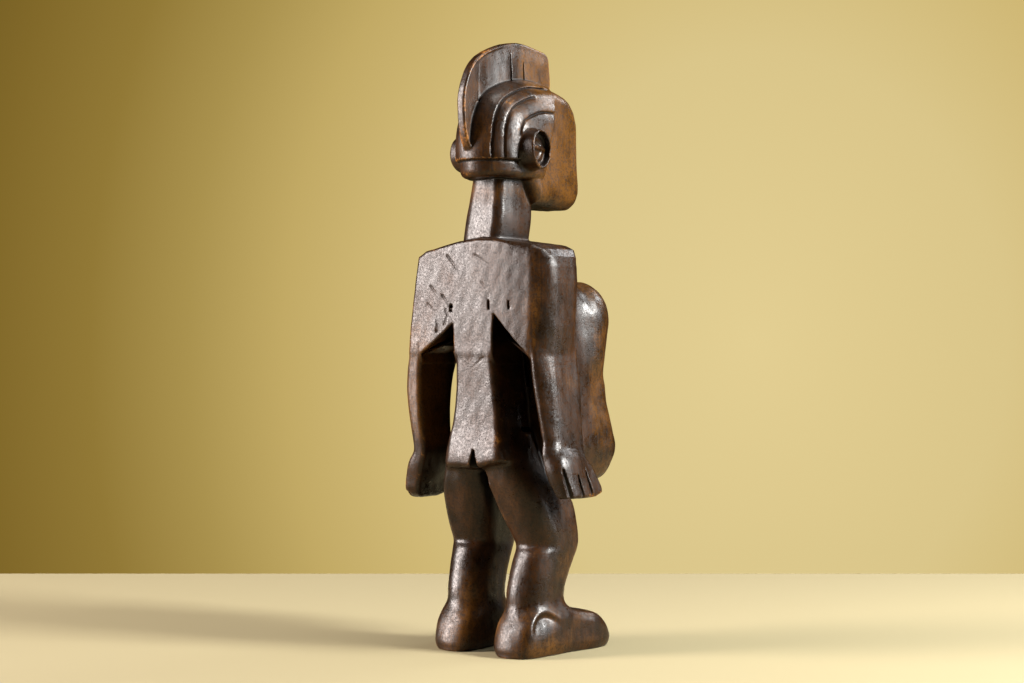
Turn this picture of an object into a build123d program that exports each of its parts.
from build123d import *
import os

# Standing carved wooden figure with a sagittal crest, hands hanging free of the trunk
# and slightly bent knees. Millimetres, +Z up. The figure faces -Y, its left side is +X,
# and the origin is on the floor under the middle of its bounding box.
# The carving is one block of wood, so every form below is bounded by the carved border
# where it meets its neighbours, and the forms meet face to face without fasteners.

# ---- Driving dimensions ------------------------------------------------------------

HEIGHT = 450.0            # sole to the top of the crest
BACK_PLANE = 50.0         # Y of the flat back
SLAB_FRONT = 3.0          # Y of the front of the shoulder slab
SHOULDER_Z = 303.0        # top of the shoulders beside the neck
ARMPIT_Z = 218.0          # lower end of the shoulder slab, where the arms hang free
CHEST_TOP_Z = 278.0
FRONT_BODY_BACK = 14.0    # Y of the back of the chest and belly, behind the arm openings
WAIST_Z = 195.0           # border of chest and belly
HIP_Z = 158.0             # border of trunk and pelvis
WRIST_Z = 146.0
KNEE_Z = 78.0
ANKLE_Z = 27.0
JAW_Z = 328.0             # underside of the jaw
HAIR_Z = 348.0            # underside of the hair at the nape

CREST_THICKNESS = 8.0
CREST_BACK = 68.0         # Y of the back of the crest
HAIR_CENTRE = (0.0, 6.0, 365.0)
HAIR_RADII = (29.5, 54.0, 58.0)
FACE_HALF_WIDTH = 25.0
FACE_FRONT = -60.0        # Y of the chin's front

EAR_RADIUS = 15.0
EAR_BOWL_RADIUS = 10.5
EAR_BOWL_DEPTH = 5.0
EAR_REACH = 37.0          # X of the ear's rim
EAR_CENTRE = (20.0, 368.0)

BREAST_CENTRE = (26.0, -38.0, 242.0)
BREAST_RADII = (24.5, 23.0, 30.5)
NAVEL_CENTRE = (-60.0, 152.0)
NAVEL_RADIUS = 8.0

LEFT = 1
RIGHT = -1


# ---- Helpers -----------------------------------------------------------------------

def section(z, x_low, x_high, y_low, y_high, corner):
    """Rounded rectangle lying at height z."""
    centre = Location(((x_low + x_high) / 2, (y_low + y_high) / 2, z))
    return centre * RectangleRounded(x_high - x_low, y_high - y_low, corner)


def limb(*sections):
    """Smooth body through a stack of rounded rectangles, given from the lowest up."""
    return loft([section(*one) for one in sections])


def side_section(side, z, inner, outer, y_low, y_high, corner):
    """A limb section on one side of the figure, from its inner and outer distance to X=0."""
    x_low, x_high = sorted((side * inner, side * outer))
    return (z, x_low, x_high, y_low, y_high, corner)


def side_limb(side, *sections):
    """Smooth body on one side of the figure."""
    return limb(*[side_section(side, *one) for one in sections])


def seat(piece, *neighbours):
    """Cut a piece back to the faces of its neighbours and keep the one body left."""
    for neighbour in neighbours:
        piece = piece - neighbour
    return max(piece.solids(), key=lambda body: body.volume)


def flat(outline):
    """Flat face inside a closed outline."""
    return Face(Wire(outline.edges()))


def profile_slab(outline, half_width):
    """Side profile in the YZ plane, extruded evenly to both sides of X=0."""
    return extrude(flat(outline), amount=half_width, dir=(1, 0, 0), both=True)


# ---- Head --------------------------------------------------------------------------

def carve_hair_cap():
    """Egg-shaped cap of hair over the back and top of the head, flat underneath."""
    dome = Pos(*HAIR_CENTRE) * scale(Sphere(1), by=HAIR_RADII)
    kept = Polyline(
        (0, 0, HAIR_Z), (0, 48, HAIR_Z), (0, 62, HAIR_Z + 14), (0, 62, 430), (0, -26, 430),
        close=True,
    )
    return dome & profile_slab(kept, 40)


def carve_face():
    """Wedge-shaped face block, narrowing from the hair to a blunt front."""
    def slice_at(y, half_width, z_low, z_high, corner):
        plane = Plane(origin=(0, y, (z_low + z_high) / 2), x_dir=(1, 0, 0), z_dir=(0, -1, 0))
        return plane * RectangleRounded(2 * half_width, z_high - z_low, corner)
    return loft([
        slice_at(8, FACE_HALF_WIDTH, JAW_Z + 4, 412, 10),
        slice_at(-26, FACE_HALF_WIDTH - 3, JAW_Z, 414, 12),
        slice_at(-48, FACE_HALF_WIDTH - 7, JAW_Z + 1, 402, 12),
        slice_at(FACE_FRONT, FACE_HALF_WIDTH - 13, JAW_Z + 8, 352, 6),
    ])


def carve_crest():
    """Upright fin along the middle of the head, rounded at the back and cut off in front."""
    top = Spline(
        (0, 64, 364), (0, CREST_BACK, 400), (0, 56, 429), (0, 22, HEIGHT - 3), (0, 2, HEIGHT),
        (0, -31, HEIGHT - 5),
    )
    front = Polyline((0, -31, HEIGHT - 5), (0, -33, 410), (0, 30, 380), (0, 50, 352), (0, 64, 364))
    fin = profile_slab(top + front, CREST_THICKNESS / 2)
    rim = [edge for edge in fin.edges() if abs(edge.center().X) > 1 and edge.length > 100]
    return fillet(rim, 2.5)


def carve_ear(side):
    """Short round cup standing out of the side of the head, hollow on its outer face."""
    cup = extrude(Circle(EAR_RADIUS), amount=EAR_REACH)
    cup = fillet(cup.faces().sort_by(Axis.Z)[-1].edges(), 2.0)
    bowl_radius = (EAR_BOWL_RADIUS**2 + EAR_BOWL_DEPTH**2) / (2 * EAR_BOWL_DEPTH)
    cup -= Pos(0, 0, EAR_REACH + bowl_radius - EAR_BOWL_DEPTH) * Sphere(bowl_radius)
    return Pos(0, *EAR_CENTRE) * Rot(0, side * 90, 0) * cup


def carve_neck():
    """Squared neck with softened corners, spreading a little towards its base."""
    return limb(
        (SHOULDER_Z - 8, -16, 26, SLAB_FRONT + 1, 43, 6),
        (SHOULDER_Z + 22, -15, 22, SLAB_FRONT - 2, 40, 6),
        (HAIR_Z + 12, -14, 16, SLAB_FRONT - 3, 37, 6),
    )


# ---- Upper body --------------------------------------------------------------------

def carve_shoulders():
    """Flat-backed shoulder slab with a pointed arch cut in its lower edge beside each arm."""
    outline = Polyline(
        (-14, 0, ARMPIT_Z), (-17.5, 0, 247), (-44.5, 0, ARMPIT_Z), (-58, 0, ARMPIT_Z),
        (-61, 0, 262), (-60, 0, 296), (0, 0, SHOULDER_Z), (55, 0, 295), (60.5, 0, 268),
        (67.5, 0, ARMPIT_Z), (54, 0, ARMPIT_Z), (22, 0, 241), (22, 0, ARMPIT_Z),
        close=True,
    )
    depth = BACK_PLANE - SLAB_FRONT
    slab = Pos(0, BACK_PLANE, 0) * extrude(flat(outline), amount=depth, dir=(0, -1, 0))
    corners = slab.edges().filter_by(Axis.Y)
    tops = [edge for edge in corners if edge.center().Z > 290 and abs(edge.center().X) > 30]
    slab = fillet(tops, 6.0)
    outer = [
        edge for edge in slab.edges()
        if (abs(edge.center().X) > 50 or edge.center().Z > 290)
        and edge.center().Z > ARMPIT_Z + 1
        and abs(edge.center().Y - (BACK_PLANE + SLAB_FRONT) / 2) > 20
    ]
    return fillet(outer, 4.0)


def carve_chest():
    """Broad front of the ribs, from below the shoulders to the waist."""
    return limb(
        (WAIST_Z, -47, 47, -54, FRONT_BODY_BACK, 15),
        (224, -46, 46, -46, FRONT_BODY_BACK, 15),
        (252, -43, 43, -34, FRONT_BODY_BACK, 15),
        (CHEST_TOP_Z, -40, 40, -14, FRONT_BODY_BACK, 10),
    )


def carve_breast(side):
    """Full round breast set on the chest."""
    x, y, z = BREAST_CENTRE
    return Pos(side * x, y, z) * scale(Sphere(1), by=BREAST_RADII)


def carve_belly():
    """Broad swelling belly with a button navel, undercut towards the thighs."""
    swell = limb(
        (124, -45, 45, -54, FRONT_BODY_BACK, 20),
        (136, -51, 51, -62, FRONT_BODY_BACK, 22),
        (152, -53, 53, -64.5, FRONT_BODY_BACK, 24),
        (170, -51, 51, -61, FRONT_BODY_BACK, 21),
        (WAIST_Z, -47, 47, -54, FRONT_BODY_BACK, 15),
    )
    navel = Pos(0, *NAVEL_CENTRE) * Sphere(NAVEL_RADIUS)
    return swell + navel


def carve_trunk():
    """Narrow flat-backed trunk left standing between the two arm openings."""
    return limb(
        (HIP_Z, -21, 26, 2, BACK_PLANE + 1, 4),
        (188, -18.5, 22, 2, BACK_PLANE, 4),
        (ARMPIT_Z, -14, 22, 2, BACK_PLANE, 4),
    )


# ---- Arms and hands ----------------------------------------------------------------

def carve_left_arm():
    """Arm bowing outwards from the shoulder slab to the wrist."""
    return side_limb(
        LEFT,
        (WRIST_Z, 53.5, 65, 12, 46, 4),
        (166, 54.5, 68.5, 12, 48, 4.5),
        (190, 55.5, 71, 10, 49, 5),
        (ARMPIT_Z, 54, 67.5, SLAB_FRONT, BACK_PLANE, 5),
    )


def carve_right_arm():
    """Straighter arm, turning outwards only towards the wrist."""
    return side_limb(
        RIGHT,
        (WRIST_Z, 55, 66, 7, 46, 4),
        (166, 51.5, 64, 4, 48, 4.5),
        (190, 47, 61.5, 2.5, 49, 5),
        (ARMPIT_Z, 44.5, 58, SLAB_FRONT, BACK_PLANE, 5),
    )


def carve_hand(side, tip_z, wrist_inner, wrist_front):
    """Mitten-shaped hand flaring outwards, with three finger grooves on its outer face."""
    palm = side_limb(
        side,
        (tip_z, 66, 78, -3, 41, 3.5),
        (128, 60, 75, 0, 44, 4),
        (WRIST_Z, wrist_inner, wrist_inner + 11, wrist_front, 46, 4),
    )
    finger_width = 44 / 4
    for number in range(1, 4):
        groove_y = -3 + number * finger_width
        groove = Cylinder(1.6, 26, rotation=(0, -18 * side, 0))
        palm = palm - Pos(side * 78.5, groove_y, 122) * groove
    return palm


# ---- Lower body --------------------------------------------------------------------

def carve_pelvis():
    """Hips and buttocks, with a pointed cleft rising between the buttocks."""
    hips = limb(
        (132, -27, 31, 4, BACK_PLANE + 4, 9),
        (144, -27, 30, 4, BACK_PLANE + 5.5, 9),
        (HIP_Z, -21, 26, 2, BACK_PLANE + 1, 4),
    )
    cleft = Polyline((-8, 0, 131), (0, 0, 149), (8, 0, 131), close=True)
    wedge = extrude(flat(cleft), amount=30, dir=(0, 1, 0))
    return hips - Pos(0, BACK_PLANE - 12, 0) * wedge


def carve_thigh(side):
    """Thigh leaning forwards from the hip to the knee."""
    return side_limb(
        side,
        (KNEE_Z, 14, 46, -20, 26, 9),
        (104, 8, 44, -15, 37, 10),
        (136, 2, 33, -8, 50, 10),
    )


def carve_calf(side):
    """Heavy calf leaning backwards from the knee to the ankle."""
    return side_limb(
        side,
        (ANKLE_Z - 8, 12, 42, -2, 40, 10),
        (52, 12, 44, -8, 36, 10),
        (KNEE_Z, 14, 46, -20, 26, 9),
    )


def carve_foot(side):
    """Flat-soled foot, rounded in plan, low at the toes and highest at the instep."""
    heel = Pos(side * 28, 33) * Circle(19)
    ball = Pos(side * 33, -33) * Circle(21)
    plan = make_hull(heel.edges() + ball.edges())
    top = Spline((0, 52, 16), (0, 42, ANKLE_Z), (0, 0, 32), (0, -34, 26), (0, -54, 13))
    sole = Polyline((0, -54, 13), (0, -54, 0), (0, 52, 0), (0, 52, 16))
    foot = extrude(plan, amount=40) & profile_slab(top + sole, 60)
    upper = [edge for edge in foot.edges() if edge.center().Z > 5 and edge.length > 15]
    return fillet(upper, 4.0)


# ---- The figure --------------------------------------------------------------------

def carve_figure():
    """All forms of the carving, each cut back to the faces of its neighbours."""
    figure = {}
    hair = carve_hair_cap()
    face = seat(carve_face(), hair)
    shoulders = carve_shoulders()
    figure["hair_cap"] = seat(hair)
    figure["face"] = face
    figure["crest"] = seat(carve_crest(), hair, face)
    figure["neck"] = seat(carve_neck(), hair, face, shoulders)
    figure["shoulders"] = seat(shoulders)
    trunk = carve_trunk()
    chest = seat(carve_chest(), shoulders, trunk)
    belly = seat(carve_belly(), trunk, chest)
    pelvis = seat(carve_pelvis(), trunk, belly)
    figure["chest"] = chest
    figure["trunk"] = seat(trunk)
    figure["belly"] = belly
    figure["pelvis"] = pelvis
    arms = {LEFT: carve_left_arm(), RIGHT: carve_right_arm()}
    hands = {LEFT: (110, 53.5, 12), RIGHT: (116, 55, 7)}
    for side, word in ((LEFT, "left"), (RIGHT, "right")):
        figure[f"{word}_ear"] = seat(carve_ear(side), hair, face)
        figure[f"{word}_breast"] = seat(carve_breast(side), chest, belly, shoulders)
        figure[f"{word}_arm"] = seat(arms[side], shoulders, chest, belly)
        figure[f"{word}_hand"] = seat(carve_hand(side, *hands[side]), arms[side])
        thigh = seat(carve_thigh(side), pelvis, belly, trunk)
        foot = carve_foot(side)
        figure[f"{word}_thigh"] = thigh
        figure[f"{word}_calf"] = seat(carve_calf(side), thigh, foot)
        figure[f"{word}_foot"] = seat(foot)
    return figure


os.makedirs("parts", exist_ok=True)
for node, solid in carve_figure().items():
    export_step(solid, f"parts/{node}.step")
